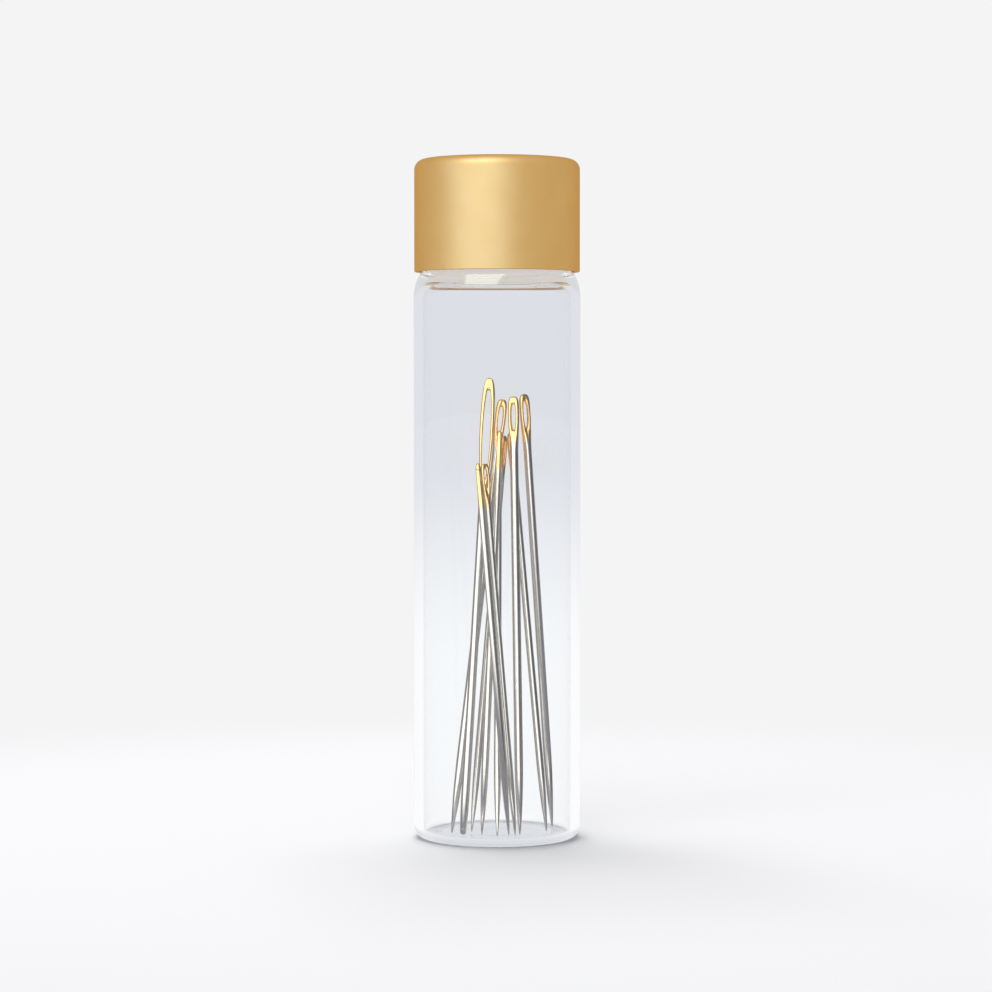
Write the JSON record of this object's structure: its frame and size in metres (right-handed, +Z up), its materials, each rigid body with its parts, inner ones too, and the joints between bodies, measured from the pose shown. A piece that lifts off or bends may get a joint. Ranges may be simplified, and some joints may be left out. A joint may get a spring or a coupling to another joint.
{
  "type": "needle vial",
  "caption": "Clear glass tube vial with a gold screw cap, holding loose hand-sewing needles that stand points down, with gold-plated eyes.",
  "frame": {"origin": "centre of the vial's base, at the level it stands on", "axes": "+Z up along the vial's axis, +X to the right and +Y to the back as the picture sees it"},
  "size_m": [0.016, 0.016, 0.0652],
  "materials": {
    "vial_glass": "clear drawn tube glass",
    "cap_gold": "drawn, satin gold anodised",
    "insert_white": "moulded white polypropylene",
    "seal_foam": "closed-cell polyethylene foam",
    "needle_steel": "polished nickel-plated steel, gold-plated over the eye"
  },
  "bodies": {
    "vial": {"glass_vial": "vial_glass"},
    "seal": {"cap_seal": "seal_foam"},
    "cap": {"cap_shell": "cap_gold", "cap_insert": "insert_white"},
    "needle_1": {"needle_1": "needle_steel"},
    "needle_2": {"needle_2": "needle_steel"},
    "needle_3": {"needle_3": "needle_steel"},
    "needle_4": {"needle_4": "needle_steel"},
    "needle_5": {"needle_5": "needle_steel"},
    "needle_6": {"needle_6": "needle_steel"},
    "needle_7": {"needle_7": "needle_steel"},
    "needle_8": {"needle_8": "needle_steel"},
    "needle_9": {"needle_9": "needle_steel"},
    "needle_10": {"needle_10": "needle_steel"}
  },
  "joints": [
    {"name": "cap_rise", "type": "slide", "parent": "vial", "child": "seal", "axis": [0, 0, 1], "range_m": [0, 0.00847]},
    {"name": "cap_turn", "type": "hinge", "parent": "seal", "child": "cap", "pos_m": [0, 0, 0.06], "axis": [0, 0, 1], "range_deg": [0, 1440]},
    {"name": "needle_1_slide", "type": "slide", "parent": "vial", "child": "needle_1", "axis": [0, 0, 1], "range_m": [0, 0.011]},
    {"name": "needle_2_slide", "type": "slide", "parent": "vial", "child": "needle_2", "axis": [0, 0, 1], "range_m": [0, 0.011]},
    {"name": "needle_3_slide", "type": "slide", "parent": "vial", "child": "needle_3", "axis": [0, 0, 1], "range_m": [0, 0.011]},
    {"name": "needle_4_slide", "type": "slide", "parent": "vial", "child": "needle_4", "axis": [0, 0, 1], "range_m": [0, 0.011]},
    {"name": "needle_5_slide", "type": "slide", "parent": "vial", "child": "needle_5", "axis": [0, 0, 1], "range_m": [0, 0.011]},
    {"name": "needle_6_slide", "type": "slide", "parent": "vial", "child": "needle_6", "axis": [0, 0, 1], "range_m": [0, 0.011]},
    {"name": "needle_7_slide", "type": "slide", "parent": "vial", "child": "needle_7", "axis": [0, 0, 1], "range_m": [0, 0.011]},
    {"name": "needle_8_slide", "type": "slide", "parent": "vial", "child": "needle_8", "axis": [0, 0, 1], "range_m": [0, 0.011]},
    {"name": "needle_9_slide", "type": "slide", "parent": "vial", "child": "needle_9", "axis": [0, 0, 1], "range_m": [0, 0.011]},
    {"name": "needle_10_slide", "type": "slide", "parent": "vial", "child": "needle_10", "axis": [0, 0, 1], "range_m": [0, 0.011]}
  ],
  "couplings": [
    {"joint": "cap_turn", "follows": "cap_rise", "rad_per_m": 2968.4},
    {"joint": "needle_2_slide", "follows": "needle_1_slide", "ratio": 1},
    {"joint": "needle_3_slide", "follows": "needle_1_slide", "ratio": 1},
    {"joint": "needle_4_slide", "follows": "needle_1_slide", "ratio": 1},
    {"joint": "needle_5_slide", "follows": "needle_1_slide", "ratio": 1},
    {"joint": "needle_6_slide", "follows": "needle_1_slide", "ratio": 1},
    {"joint": "needle_7_slide", "follows": "needle_1_slide", "ratio": 1},
    {"joint": "needle_8_slide", "follows": "needle_1_slide", "ratio": 1},
    {"joint": "needle_9_slide", "follows": "needle_1_slide", "ratio": 1},
    {"joint": "needle_10_slide", "follows": "needle_1_slide", "ratio": 1}
  ]
}
